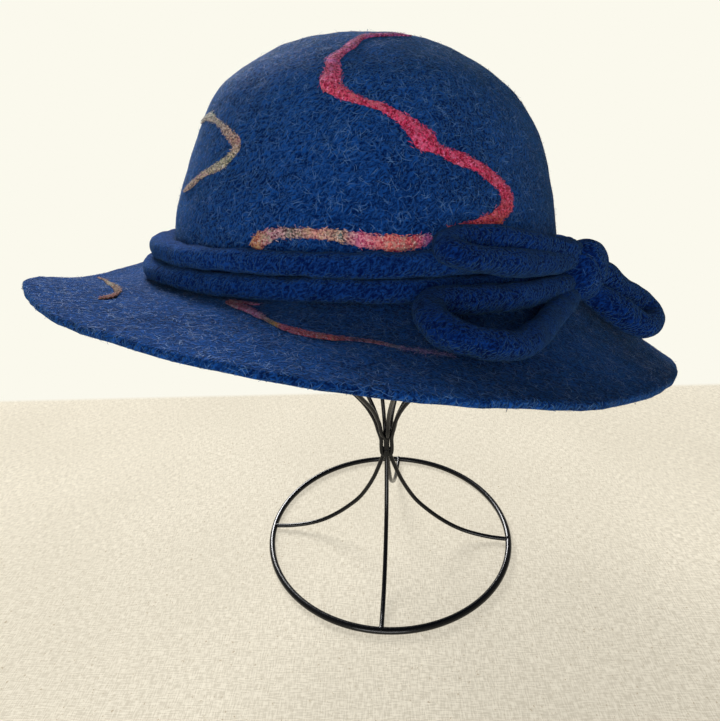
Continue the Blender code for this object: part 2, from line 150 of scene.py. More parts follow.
# Bow loops from the knot round to the knot again: azimuth in degrees; layer, where 0 lies on the crown,
# 1 lies over the band and each further 1 is one cord out; height in band cords and in bow cords, added;
# girth as a share of BOW_CORD
BOW_LOOPS = {
    "bow_loop_upper": (
        (-37.0, 1.20, 0.40, 0.20, 0.62), (-44.0, 1.02, 0.62, 0.23, 0.76),
        (-50.0, 0.80, 0.74, 0.28, 0.80), (-56.0, 0.52, 0.78, 0.46, 0.84),
        (-62.5, 0.34, 0.78, 0.58, 0.87), (-68.0, 0.30, 0.78, 0.62, 0.83),
        (-71.2, 0.42, 0.78, 0.57, 0.84), (-73.2, 0.76, 0.70, 0.53, 0.84),
        (-73.0, 1.10, 0.50, 0.54, 0.84), (-70.4, 1.26, 0.25, 0.59, 0.86),
        (-66.5, 1.25, 0.00, 0.66, 0.86), (-60.8, 1.20, 0.00, 0.52, 0.91),
        (-55.8, 1.16, 0.00, 0.43, 0.87), (-50.0, 1.14, 0.00, 0.36, 0.80),
        (-43.5, 1.13, 0.00, 0.30, 0.72), (-37.0, 1.13, 0.00, 0.27, 0.60),
    ),
    "bow_loop_lower": (
        (-36.5, 1.12, 0.00, -0.52, 0.60), (-42.0, 1.12, 0.00, -0.54, 0.74),
        (-48.0, 1.13, 0.00, -0.58, 0.83), (-54.0, 1.14, 0.00, -0.61, 0.87),
        (-60.0, 1.15, 0.00, -0.62, 0.89), (-66.5, 1.15, 0.00, -0.60, 0.92),
        (-72.0, 1.17, 0.00, -0.58, 0.95), (-76.0, 1.34, 0.00, -0.62, 0.98),
        (-78.2, 1.80, 0.00, -0.76, 1.00), (-78.0, 2.60, 0.00, -1.02, 0.98),
        (-75.8, 3.15, 0.00, -1.24, 0.93), (-72.5, 3.38, 0.00, -1.40, 0.88),
        (-69.0, 3.45, 0.00, -1.48, 0.86), (-65.0, 3.22, 0.00, -1.52, 0.86),
        (-59.4, 2.60, 0.00, -1.46, 0.86), (-51.5, 1.85, 0.00, -1.26, 0.86),
        (-44.0, 1.40, 0.00, -1.05, 0.82), (-39.5, 1.20, 0.00, -0.88, 0.74),
        (-36.0, 1.12, 0.00, -0.76, 0.60),
    ),
    "bow_loop_right": (
        (-35.0, 1.45, 0.00, 0.06, 0.62), (-31.0, 1.80, 0.00, -0.43, 0.92),
        (-27.6, 2.35, 0.00, -1.06, 0.98), (-24.6, 2.93, 0.00, -1.57, 0.98),
        (-24.9, 3.34, 0.00, -1.88, 0.92), (-27.9, 3.50, 0.00, -2.07, 0.90),
        (-31.6, 3.26, 0.00, -2.10, 0.96), (-33.6, 2.66, 0.00, -1.65, 1.04),
        (-34.8, 2.16, 0.00, -1.30, 1.02), (-35.6, 1.74, 0.00, -1.00, 0.86),
        (-36.4, 1.42, 0.00, -0.80, 0.60),
    ),
}

# Yarns: azimuth in degrees, then the height up the crown or the place across the brim as a share, then the
# strand's width in millimetres. Where the width is nought, only loose fibres go on.
CROWN_YARNS = {
    "yarn_red_crown": (
        (-70, 0.164, 1.4), (-66, 0.170, 3.4), (-61, 0.180, 5.0), (-56, 0.203, 5.6), (-52, 0.250, 5.4),
        (-53, 0.310, 4.6), (-57, 0.355, 4.4), (-61, 0.395, 4.2), (-67, 0.425, 4.4), (-71, 0.450, 3.0),
        (-74, 0.480, 7.0), (-77, 0.520, 6.4), (-79, 0.550, 4.2), (-85, 0.600, 3.0), (-92, 0.630, 3.4),
        (-99, 0.680, 6.6), (-99, 0.735, 6.0), (-100, 0.785, 4.8), (-95, 0.845, 4.0), (-88, 0.900, 3.2),
        (-60, 0.920, 1.8),
    ),
    "yarn_mixed_crown": (
        (-115, 0.098, 5.4), (-114, 0.125, 5.2), (-110, 0.150, 3.8), (-104, 0.156, 3.4),
        (-96, 0.150, 3.8), (-90, 0.132, 5.0), (-84, 0.120, 5.4), (-78, 0.122, 4.0), (-74, 0.138, 1.6),
    ),
    "yarn_tan_crown": (
        (-158, 0.60, 1.6), (-148, 0.61, 3.4), (-139, 0.58, 2.2), (-131, 0.53, 3.6), (-126, 0.48, 4.2),
        (-128, 0.43, 3.2), (-132, 0.40, 3.8), (-139, 0.37, 2.2), (-145, 0.33, 3.2), (-152, 0.30, 1.4),
    ),
}
BRIM_YARNS = {
    "yarn_brim_front": (
        (-112.5, 0.17, 1.2), (-119.5, 0.19, 3.0), (-112, 0.28, 3.8), (-105, 0.41, 1.6),
        (-100.5, 0.48, 3.2), (-95.5, 0.515, 3.4), (-89, 0.515, 1.2), (-84.5, 0.56, 1.2),
        (-81, 0.585, 0.0), (-77, 0.61, 0.0),
    ),
    "yarn_brim_left": (
        (-172, 0.74, 1.2), (-160, 0.56, 1.6), (-149, 0.5, 3.4), (-143.5, 0.5, 3.0), (-138.7, 0.55, 1.6),
        (-136, 0.62, 2.8), (-135, 0.68, 1.6),
    ),
}
YARN_THICK = 0.0015
YARN_FLAT = 0.34
THINNEST_STRAND = 0.00035
LOOSE_YARN = 0.0011
FIRST_YARN_SEED = 51

# Colours of the yarns: the axis along which they change, the number of frayed fibres, a tint for all the
# colours and the colour of the pale flecks, then rows of place along the axis as a share, dark fibres, light
# fibres and patches
YARN_SHADES = {
    "yarn_red_crown": ("Z", 2100, (1.03, 0.62, 1.35), (0.80, 0.36, 0.34), (
        (0.00, (0.24, 0.004, 0.018), (0.70, 0.14, 0.08), (0.66, 0.25, 0.05)),
        (0.12, (0.23, 0.002, 0.018), (0.68, 0.08, 0.10), (0.70, 0.24, 0.18)),
        (0.50, (0.22, 0.002, 0.018), (0.68, 0.07, 0.11), (0.74, 0.22, 0.22)),
        (0.72, (0.23, 0.004, 0.022), (0.70, 0.11, 0.12), (0.70, 0.30, 0.16)),
        (0.86, (0.16, 0.010, 0.035), (0.60, 0.14, 0.17), (0.44, 0.28, 0.36)),
        (1.00, (0.12, 0.008, 0.040), (0.45, 0.09, 0.14), (0.30, 0.15, 0.24)),
    )),
    "yarn_mixed_crown": ("X", 1300, (1.08, 1.05, 1.45), (0.80, 0.66, 0.44), (
        (0.00, (0.26, 0.04, 0.030), (0.68, 0.33, 0.12), (0.56, 0.40, 0.12)),
        (0.08, (0.16, 0.02, 0.040), (0.64, 0.30, 0.28), (0.44, 0.52, 0.26)),
        (0.22, (0.018, 0.02, 0.016), (0.60, 0.42, 0.28), (0.15, 0.20, 0.11)),
        (0.36, (0.30, 0.08, 0.070), (0.80, 0.42, 0.26), (0.74, 0.48, 0.18)),
        (0.50, (0.026, 0.04, 0.030), (0.56, 0.34, 0.18), (0.16, 0.28, 0.20)),
        (0.60, (0.38, 0.03, 0.090), (0.78, 0.27, 0.28), (0.70, 0.18, 0.26)),
        (0.76, (0.46, 0.03, 0.035), (0.82, 0.24, 0.15), (0.56, 0.48, 0.28)),
        (0.90, (0.30, 0.02, 0.040), (0.76, 0.16, 0.12), (0.08, 0.11, 0.05)),
        (1.00, (0.11, 0.01, 0.070), (0.40, 0.12, 0.28), (0.32, 0.11, 0.32)),
    )),
    "yarn_tan_crown": ("Z", 1100, (1.10, 1.30, 2.00), (0.74, 0.60, 0.38), (
        (0.00, (0.05, 0.04, 0.05), (0.56, 0.33, 0.15), (0.34, 0.20, 0.12)),
        (0.22, (0.08, 0.04, 0.04), (0.60, 0.40, 0.16), (0.52, 0.14, 0.18)),
        (0.45, (0.03, 0.04, 0.03), (0.60, 0.46, 0.20), (0.22, 0.26, 0.10)),
        (0.70, (0.09, 0.04, 0.03), (0.62, 0.34, 0.16), (0.40, 0.12, 0.11)),
        (1.00, (0.04, 0.04, 0.04), (0.56, 0.40, 0.22), (0.26, 0.30, 0.14)),
    )),
    "yarn_brim_front": ("X", 1500, (0.66, 0.62, 0.85), (0.52, 0.40, 0.46), (
        (0.00, (0.13, 0.008, 0.030), (0.48, 0.12, 0.13), (0.34, 0.34, 0.26)),
        (0.17, (0.12, 0.008, 0.070), (0.46, 0.15, 0.29), (0.48, 0.33, 0.46)),
        (0.25, (0.05, 0.040, 0.030), (0.28, 0.20, 0.13), (0.20, 0.24, 0.11)),
        (0.28, (0.30, 0.120, 0.015), (0.62, 0.34, 0.05), (0.38, 0.38, 0.08)),
        (0.31, (0.18, 0.008, 0.040), (0.56, 0.09, 0.13), (0.46, 0.12, 0.22)),
        (0.53, (0.21, 0.012, 0.025), (0.60, 0.13, 0.11), (0.38, 0.28, 0.15)),
        (0.62, (0.03, 0.020, 0.060), (0.22, 0.10, 0.15), (0.12, 0.08, 0.16)),
        (0.71, (0.12, 0.030, 0.050), (0.42, 0.19, 0.21), (0.32, 0.25, 0.22)),
        (0.81, (0.05, 0.040, 0.150), (0.30, 0.23, 0.44), (0.09, 0.24, 0.26)),
        (1.00, (0.03, 0.050, 0.150), (0.26, 0.22, 0.42), (0.07, 0.27, 0.27)),
    )),
    "yarn_brim_left": ("Y", 500, (0.90, 0.85, 1.25), (0.50, 0.40, 0.26), (
        (0.00, (0.12, 0.01, 0.01), (0.42, 0.10, 0.06), (0.20, 0.22, 0.08)),
        (0.45, (0.06, 0.05, 0.02), (0.38, 0.24, 0.11), (0.14, 0.30, 0.12)),
        (1.00, (0.14, 0.02, 0.02), (0.42, 0.14, 0.09), (0.24, 0.24, 0.10)),
    )),
}
BRIGHTEST_WOOL = 0.88

# Ribs of the wire head: reach as a share of HEAD_RADIUS, height in metres
RIB_ROWS = (
    (0.085, 0.0835),
    (0.130, 0.0935),
    (0.245, 0.1065),
    (0.495, 0.1250),
    (0.775, 0.1455),
    (0.955, 0.1720),
    (1.000, 0.1995),
    (0.945, 0.2295),
    (0.795, 0.2585),
    (0.550, 0.2805),
    (0.310, 0.2920),
    (0.000, 0.2972),
)

# Legs: reach as a share of RING_RADIUS, height in metres
LEG_ROWS = (
    (1.015, 0.0026),
    (0.94, 0.0026),
    (0.84, 0.0030),
    (0.69, 0.0052),
    (0.56, 0.0090),
    (0.44, 0.0148),
    (0.335, 0.0215),
    (0.24, 0.0290),
    (0.165, 0.0380),
    (0.105, 0.0475),
    (0.058, 0.0575),
    (0.026, 0.0655),
    (0.024, 0.0700),
)

# Unevenness of the felt, in layers of height, grain size and seed
RIM_WANDER = ((0.0009, 0.016, 2.0), (0.0005, 0.006, 4.0))
FELT_SWELL = ((0.0007, 0.030, 3.0), (0.0004, 0.010, 5.0), (0.00015, 0.003, 7.0))

# Felts: deep colour, pale colour and length of the pile's strands
FELTS = {
    "blue_felt": ((0.0004, 0.0062, 0.0500), (0.0085, 0.0640, 0.2850), 0.0036),
    "blue_cord_felt": ((0.0005, 0.0060, 0.0560), (0.0075, 0.0520, 0.2500), 0.0034),
    # The bow's felt is the cord felt made darker: painted shade, for the shade that the bow's loops and knot
    # lie in.
    "blue_bow_painted_shade_felt": ((0.0002, 0.0036, 0.0400), (0.0040, 0.0340, 0.1950), 0.0034),
}
PILE_THICK = 0.0008
PILE_CURL = 0.0025
SHEEN_TINT = (0.36, 0.80, 1.0, 1.0)

# Loose fibres: colours, greatest rise of their arch, spread of their turn in radians for each metre, the
# share that stands off at one end, and the share that is left out inside the hat
WOOL_DARK = (0.010, 0.055, 0.200)
WOOL_PALE = (0.065, 0.155, 0.360)
FIBRE_LIFT = 0.0003
FIBRE_CURL = 260.0
STRAY_SHARE = 0.06
BARE_INSIDE = 0.75

# Paint
PAINT = (0.0035, 0.0035, 0.0040)
WORN_PAINT = (0.030, 0.028, 0.025)

# Camera
LENS = 26.0
SENSOR = 36.0
CAMERA_FROM_STAND = Vector((0.0, -0.2845, 0.2663))
CAMERA_PITCH = math.radians(25.0)
CAMERA_YAW = math.radians(2.95)
CAMERA_ROLL = math.radians(-2.77)

# Lights: place from the stand, size, power in watts
LIGHTS = {
    "key_light": (Vector((-1.25, 2.60, 1.95)), 1.3, 230.0),
    "fill_light": (Vector((-0.3, -2.3, 0.3)), 1.5, 48.0),
}
LIT_HEIGHT = 0.18
AMBIENT = 0.22
AMBIENT_COLOUR = (1.0, 0.98, 0.94, 1.0)

# Background and floor
CREAM = (0.965, 0.947, 0.847, 1.0)
FLOOR_HALF_WIDTH = 6.0
CLOTH_END = 0.200
CLOTH_EDGE = 0.008
LINEN_DARK = (0.202, 0.186, 0.151)
LINEN_PALE = (0.220, 0.203, 0.166)
LINEN_GAPS = (0.150, 0.136, 0.108)
LINEN_SPECKS = (0.105, 0.083, 0.055)
LINEN_GLOW = 3.1


def curve_value(before, start, end, after, share):
    """A point on the smooth curve that passes through start and end."""
    square = share * share
    cube = square * share
    return tuple(
        0.5 * (2 * b + (c - a) * share + (2 * a - 5 * b + 4 * c - d) * square
               + (3 * b - a - 3 * c + d) * cube)
        for a, b, c, d in zip(before, start, end, after)
    )


def smooth_row(rows, place):
    """The row at a fractional place in an open table."""
    first = min(int(place), len(rows) - 2)
    start = rows[first]
    end = rows[first + 1]
    before = rows[first - 1] if first > 0 else tuple(2 * a - b for a, b in zip(start, end))
    after = rows[first + 2] if first + 2 < len(rows) else tuple(2 * b - a for a, b in zip(start, end))
    return curve_value(before, start, end, after, place - first)


def smooth_rows(rows, steps):
    """An open table read at a few more places between its rows."""
    count = (len(rows) - 1) * steps
    return [smooth_row(rows, step / steps) for step in range(count + 1)]


def crown_profile():
    """The crown's rows from its foot up, with a mirrored row past the top so that it closes level."""
    foot = (CROWN_FOOT / CROWN_HEIGHT, 1.0, 1.0)
    under_top = CROWN_ROWS[-2]
    mirrored = (under_top[0], -under_top[1], -under_top[2])
    return (foot, *CROWN_ROWS, mirrored)


PROFILE = crown_profile()


def crown_place(height):
    """Where in the profile the crown reaches a height share."""
    low = 0.0
    high = float(len(CROWN_ROWS))
    for _ in range(30):
        middle = (low + high) / 2
        if smooth_row(PROFILE, middle)[0] < height:
            low = middle
        else:
            high = middle
    return low


def crown_point(azimuth, place):
    height, left, right = smooth_row(PROFILE, place)
    cosine = math.cos(azimuth)
    side = left if cosine < 0 else right
    return Vector((
        CROWN_HALF_LENGTH * side * cosine,
        CROWN_HALF_BREADTH * 0.5 * (left + right) * math.sin(azimuth),
        CROWN_HEIGHT * height,
    ))


def wall_reach(azimuth):
    """Distance from the hat's axis to the crown's wall at the band."""
    return 1.0 / math.hypot(math.cos(azimuth) / CROWN_HALF_LENGTH, math.sin(azimuth) / CROWN_HALF_BREADTH)


def brim_row(azimuth):
    """Brim width and rim drop at an azimuth."""
    count = len(BRIM_ROWS)
    place = (azimuth / math.tau * count) % count
    first = int(place)
    width, drop = curve_value(*[BRIM_ROWS[(first + step) % count] for step in (-1, 0, 1, 2)], place - first)
    return width * BRIM_WIDTH, drop * BRIM_DROP


def brim_height(azimuth, out):
    """Height of the brim's top at a distance out from the crown's wall."""
    width, drop = brim_row(azimuth)
    seat = BAND_CORD / 2 + GAP
    share = max(out - seat, 0.0) / (width - seat)
    return CROWN_FOOT + (-drop - CROWN_FOOT) * share - 4 * BRIM_HOLLOW * share * max(1 - share, 0.0)


def at_wall(azimuth, out, height):
    """A point outside the crown's wall, in the hat's frame."""
    reach = wall_reach(azimuth) + out
    return Vector((reach * math.cos(azimuth), reach * math.sin(azimuth), height))


def brim_point(azimuth, share):
    out = brim_row(azimuth)[0] * share
    return at_wall(azimuth, out, brim_height(azimuth, out))


def bow_centre(azimuth, layer, bands, cords, girth):
    """A point of a bow loop's centre line, kept clear of the brim below it."""
    on_wall = BOW_CORD / 2 + GAP
    over_band = max(BAND_CORD + GAP, 0.85 * BOW_CORD)
    out = on_wall + over_band * layer if layer < 1 else on_wall + over_band + BOW_CORD * (layer - 1)
    step = 0.002
    slope = (brim_height(azimuth, out + step) - brim_height(azimuth, out)) / step
    resting = brim_height(azimuth, out) + (girth * BOW_CORD / 2 + 2 * GAP) * math.hypot(1.0, slope)
    return at_wall(azimuth, out, max(bands * BAND_CORD + cords * BOW_CORD, resting))


def lumps(point, grain, seed):
    """Smooth noise between about -1 and 1 with a given grain size."""
    return noise.noise(point / grain + Vector((seed, 1.7 * seed, -seed)))


def layered(point, layers):
    """The sum of several layers of lumps, each with its height, grain size and seed."""
    return sum(height * lumps(point, grain, seed) for height, grain, seed in layers)


stand_low, stand_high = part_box("wire_stand")
STAND = Vector(((stand_low.x + stand_high.x) / 2, (stand_low.y + stand_high.y) / 2, 0.0))
cord_boxes = [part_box("band_cord_upper"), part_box("band_cord_lower")]
cord_middle = sum((corner for pair in cord_boxes for corner in pair), Vector()) / 4
HAT_PLACE = Matrix.Translation((STAND.x + HAT_SHIFT, cord_middle.y, cord_middle.z))
HAT = HAT_PLACE @ Euler(HAT_TILT).to_matrix().to_4x4()

# A point below the crown. What faces it is on the inside of the hat.
BELOW_HAT = HAT @ Vector((0.0, 0.0, -0.12))


def link_object(name, data):
    made = bpy.data.objects.new(name, data)
    bpy.context.collection.objects.link(made)
    return made


def new_piece(name, bm, material, replaced=(), place=HAT):
    """A smooth-shaded mesh object from bm, set in the row frame, which rides on the part."""
    mesh = bpy.data.meshes.new(name)
    bm.transform(place)
    bm.normal_update()
    bm.to_mesh(mesh)
    bm.free()
    mesh.shade_smooth()
    mesh.materials.append(material)
    piece = link_object(name, mesh)
    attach(piece, "root")
    if replaced:
        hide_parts(*replaced)
    return piece


def apply_modifiers(piece):
    bpy.context.view_layer.update()
    graph = bpy.context.evaluated_depsgraph_get()
    done = bpy.data.meshes.new_from_object(piece.evaluated_get(graph))
    piece.modifiers.clear()
    piece.data = done


def bridge(bm, lower, upper):
    """Faces between two rings with equally many corners."""
    for index in range(len(lower)):
        after = (index + 1) % len(lower)
        bm.faces.new((lower[index], lower[after], upper[after], upper[index]))


def close_end(bm, ring, tip, turned=False):
    """Faces from a ring to a tip, turned round at the end where a sweep starts."""
    for index in range(len(ring)):
        corners = (ring[index], ring[(index + 1) % len(ring)], tip)
        bm.faces.new(corners[::-1] if turned else corners)


def tube(bm, centres, radii, sides, closed=False, up=Vector((0.0, 0.0, 1.0)), flat=1.0, square=2.0,
         lump=0.0, grain=0.006, seed=0.0, round_ends=False):
    """Sweeps a lumpy section along centres; flat squashes it along up, and square over 2 fills its corners.

    up and flat are the same all along, or lists with a value for each centre.
    """
    count = len(centres)
    normal = up
    rings = []
    headings = []
    for index, centre in enumerate(centres):
        before = centres[index - 1] if closed or index else centre
        after = centres[(index + 1) % count] if closed or index + 1 < count else centre
        along = (after - before).normalized()
        if isinstance(up, list):
            normal = up[index]
        normal = (normal - along * normal.dot(along)).normalized()
        side = along.cross(normal)
        squash = flat[index] if isinstance(flat, list) else flat
        ring = []
        for corner in range(sides):
            turn = math.tau * corner / sides
            fuller = (abs(math.cos(turn)) ** square + abs(math.sin(turn)) ** square) ** (-1.0 / square)
            away = (side * math.cos(turn) + normal * squash * math.sin(turn)) * fuller
            point = centre + radii[index] * away
            if lump:
                point += away.normalized() * lump * lumps(point, grain, seed)
            ring.append(bm.verts.new(point))
        rings.append(ring)
        headings.append(along)
    for lower, upper in zip(rings, rings[1:]):
        bridge(bm, lower, upper)
    if closed:
        bridge(bm, rings[-1], rings[0])
        return
    for ring, along, reach, turned in (
        (rings[0], -headings[0], radii[0], True),
        (rings[-1], headings[-1], radii[-1], False),
    ):
        middle = sum((vert.co for vert in ring), Vector()) / sides
        tip = bm.verts.new(middle + along * reach * (0.5 if round_ends else 0.0))
        close_end(bm, ring, tip, turned)


def add_node(tree, kind, **settings):
    node = tree.nodes.new(kind)
    for key, value in settings.items():
        setattr(node, key, value)
    return node


def set_inputs(node, **values):
    """Sets a node's inputs by their names, with _ for each space."""
    for name, value in values.items():
        node.inputs[name.replace("_", " ")].default_value = value


def connect(tree, value, target):
    """Links a socket to target, or sets target to a number, vector or colour."""
    if isinstance(value, bpy.types.NodeSocket):
        tree.links.new(value, target)
    else:
        target.default_value = value


def calculate(tree, operation, first, second, clamp=False):
    """A Math node; first and second are sockets or numbers."""
    node = add_node(tree, "ShaderNodeMath", operation=operation, use_clamp=clamp)
    connect(tree, first, node.inputs[0])
    connect(tree, second, node.inputs[1])
    return node.outputs[0]


def calculate_vector(tree, operation, first, second):
    """A Vector Math node; second is a socket or a tuple, and for SCALE it is the scale."""
    node = add_node(tree, "ShaderNodeVectorMath", operation=operation)
    tree.links.new(first, node.inputs[0])
    connect(tree, second, node.inputs["Scale" if operation == "SCALE" else 1])
    return node.outputs[0]


def weighted_sum(tree, *parts):
    """The sum of sockets, each times its weight; parts are pairs of socket and weight."""
    total = None
    for value, weight in parts:
        weighed = calculate(tree, "MULTIPLY", value, weight)
        total = weighed if total is None else calculate(tree, "ADD", total, weighed)
    return total


def spread(tree, value, low, high, to_low=0.0, to_high=1.0):
    """A smooth Map Range of a socket."""
    node = add_node(tree, "ShaderNodeMapRange", interpolation_type="SMOOTHSTEP")
    tree.links.new(value, node.inputs["Value"])
    set_inputs(node, From_Min=low, From_Max=high, To_Min=to_low, To_Max=to_high)
    return node.outputs["Result"]


def grain_noise(tree, vector, scale, detail=2.0, rough=0.5):
    """A Noise Texture node; scale is a number or a socket."""
    node = add_node(tree, "ShaderNodeTexNoise")
    tree.links.new(vector, node.inputs["Vector"])
    connect(tree, scale, node.inputs["Scale"])
    set_inputs(node, Detail=detail, Roughness=rough)
    return node


def blend_colours(tree, factor, first, second):
    """A colour mix; first and second are colour tuples or sockets."""
    node = add_node(tree, "ShaderNodeMix", data_type="RGBA")
    tree.links.new(factor, node.inputs["Factor"])
    for name, value in (("A", first), ("B", second)):
        target = [s for s in node.inputs if s.name == name and s.type == "RGBA"][0]
        connect(tree, (*value, 1.0) if isinstance(value, tuple) else value, target)
    return [s for s in node.outputs if s.type == "RGBA"][0]


def mix_shaders(tree, factor, first, second, target):
    """Sends first to the target socket where factor is 0, and second where it is 1."""
    mix = add_node(tree, "ShaderNodeMixShader")
    for index, value in enumerate((factor, first, second)):
        tree.links.new(value, mix.inputs[index])
    tree.links.new(mix.outputs[0], target)


def object_place(tree):
    return add_node(tree, "ShaderNodeTexCoord").outputs["Object"]


def place_along(tree, axis):
    """The object coordinate along an axis, named or numbered."""
    apart = add_node(tree, "ShaderNodeSeparateXYZ")
    tree.links.new(object_place(tree), apart.inputs[0])
    return apart.outputs[axis]


def start_group(name, inputs, outputs):
    """A shader group with number inputs and outputs: its tree, both end nodes and the object coordinates."""
    group = bpy.data.node_groups.new(name, "ShaderNodeTree")
    for label, value in inputs.items():
        made = group.interface.new_socket(name=label, in_out="INPUT", socket_type="NodeSocketFloat")
        made.default_value = value
    for label in outputs:
        group.interface.new_socket(name=label, in_out="OUTPUT", socket_type="NodeSocketFloat")
    start = add_node(group, "NodeGroupInput")
    end = add_node(group, "NodeGroupOutput")
    return group, start, end, object_place(group)


def end_group(group, end, **results):
    """Sends results to the group's outputs by their names, with _ for each space."""
    for name, value in results.items():
        group.links.new(value, end.inputs[name.replace("_", " ")])
    return group


def pile_group():
    """Matted wool: curly strands in three directions, clumps and broad mottling."""
    sizes = {"Strand Thickness": 0.0013, "Strand Length": 0.004, "Curl": 0.005}
    group, start, end, place = start_group("Wool Pile", sizes, ("Strands", "Pile Height", "Mottle"))
    swirl = grain_noise(group, place, 170.0)
    centred = calculate_vector(group, "SUBTRACT", swirl.outputs["Color"], (0.5, 0.5, 0.5))
    curled = calculate_vector(group, "SCALE", centred, start.outputs["Curl"])
    warped = calculate_vector(group, "ADD", place, curled)
    across = calculate(group, "DIVIDE", 1.0, start.outputs["Strand Thickness"])
    along = calculate(group, "DIVIDE", 1.0, start.outputs["Strand Length"])
    most = None
    for axis, turn in enumerate(((0.3, 0.2, 0.5), (0.9, 0.5, -0.4), (0.4, -0.8, 0.3))):
        turned = add_node(group, "ShaderNodeVectorRotate", rotation_type="EULER_XYZ")
        group.links.new(warped, turned.inputs["Vector"])
        set_inputs(turned, Rotation=turn)
        stretch = add_node(group, "ShaderNodeCombineXYZ")
        for index in range(3):
            group.links.new(along if index == axis else across, stretch.inputs[index])
        stretched = calculate_vector(group, "MULTIPLY", turned.outputs[0], stretch.outputs[0])
        fine = grain_noise(group, stretched, 1.0, 1.0)
        strand = spread(group, fine.outputs["Fac"], 0.51, 0.68)
        most = strand if most is None else calculate(group, "MAXIMUM", most, strand)
    soft = grain_noise(group, place, 900.0, 3.0, 0.65).outputs["Fac"]
    clumps = grain_noise(group, place, 120.0).outputs["Fac"]
    broad = grain_noise(group, place, 24.0).outputs["Fac"]
    height = weighted_sum(group, (most, 0.7), (soft, 0.9))
    mottle = weighted_sum(group, (clumps, 0.22), (broad, 0.25), (soft, 0.53))
    return end_group(group, end, Strands=most, Pile_Height=height, Mottle=mottle)


def fleck_group():
    """Slub yarn: fine light and dark fibres, patches of another colour, pale flecks and a lumpy height."""
    sizes = {"Fleck Size": 0.0008, "Patch Size": 0.003}
    group, start, end, place = start_group("Yarn Flecks", sizes, ("Fleck", "Patch", "Pale", "Height"))
    per_fleck = calculate(group, "DIVIDE", 1.0, start.outputs["Fleck Size"])
    fine = grain_noise(group, place, per_fleck, 2.0, 0.65)
    per_patch = calculate(group, "DIVIDE", 1.0, start.outputs["Patch Size"])
    patch = grain_noise(group, place, per_patch, 2.0, 0.6)
    apart = add_node(group, "ShaderNodeSeparateColor")
    group.links.new(fine.outputs["Color"], apart.inputs[0])
    fleck = spread(group, fine.outputs["Fac"], 0.45, 0.57)
    patches = spread(group, patch.outputs["Fac"], 0.50, 0.60)
    pale = spread(group, apart.outputs[1], 0.58, 0.68)
    return end_group(group, end, Fleck=fleck, Patch=patches, Pale=pale, Height=fine.outputs["Fac"])


def wear_group():
    """Brushed-on paint: a fine orange peel, and small worn specks."""
    group, start, end, place = start_group("Paint Wear", {"Peel Size": 0.0012}, ("Peel", "Worn"))
    peel = grain_noise(group, place, calculate(group, "DIVIDE", 1.0, start.outputs["Peel Size"]))
    specks = grain_noise(group, place, 260.0, 4.0, 0.7)
    worn = spread(group, specks.outputs["Fac"], 0.70, 0.78)
    return end_group(group, end, Peel=peel.outputs["Fac"], Worn=worn)


PILE = pile_group()
FLECKS = fleck_group()
WEAR = wear_group()


def new_material(name, **constants):
    """A material, its tree and its Principled BSDF with the given constants."""
    made = bpy.data.materials.new(name)
    made.use_nodes = True
    shader = made.node_tree.nodes["Principled BSDF"]
    set_inputs(shader, **constants)
    return made, made.node_tree, shader


def add_group(tree, group, **values):
    node = add_node(tree, "ShaderNodeGroup", node_tree=group)
    set_inputs(node, **values)
    return node


def add_bump(tree, shader, height, strength, distance):
    bump = add_node(tree, "ShaderNodeBump")
    set_inputs(bump, Strength=strength, Distance=distance)
    tree.links.new(height, bump.inputs["Height"])
    tree.links.new(bump.outputs["Normal"], shader.inputs["Normal"])


def felt_material(name, deep, pale, length):
    made, tree, shader = new_material(name, Roughness=0.95, Specular_IOR_Level=0.02, Sheen_Weight=0.12,
                                      Sheen_Roughness=0.35, Sheen_Tint=SHEEN_TINT)
    pile = add_group(tree, PILE, Strand_Thickness=PILE_THICK, Strand_Length=length, Curl=PILE_CURL)
    mottled = spread(tree, pile.outputs["Mottle"], 0.40, 0.62, 0.0, 0.45)
    strands = calculate(tree, "MULTIPLY", pile.outputs["Strands"], 0.65)
    light = calculate(tree, "ADD", mottled, strands, clamp=True)
    tree.links.new(blend_colours(tree, light, deep, pale), shader.inputs["Base Color"])
    add_bump(tree, shader, pile.outputs["Pile Height"], 0.9, 0.0008)
    return made


def fibre_material(name):
    made, tree, shader = new_material(name, Roughness=0.8, Specular_IOR_Level=0.1, Sheen_Weight=0.1)
    tint = grain_noise(tree, object_place(tree), 300.0, 1.0)
    mixed = blend_colours(tree, spread(tree, tint.outputs["Fac"], 0.35, 0.65), WOOL_DARK, WOOL_PALE)
    tree.links.new(mixed, shader.inputs["Base Color"])
    return made


def tinted(colour, tint):
    return tuple(min(value * share, BRIGHTEST_WOOL) for value, share in zip(colour, tint))


def ramp_colours(tree, factor, stops):
    """A colour ramp; stops are pairs of position and colour."""
    node = add_node(tree, "ShaderNodeValToRGB")
    tree.links.new(factor, node.inputs["Fac"])
    while len(node.color_ramp.elements) < len(stops):
        node.color_ramp.elements.new(0.5)
    for element, (position, colour) in zip(node.color_ramp.elements, stops):
        element.position = position
        element.color = (*colour, 1.0)
    return node.outputs["Color"]


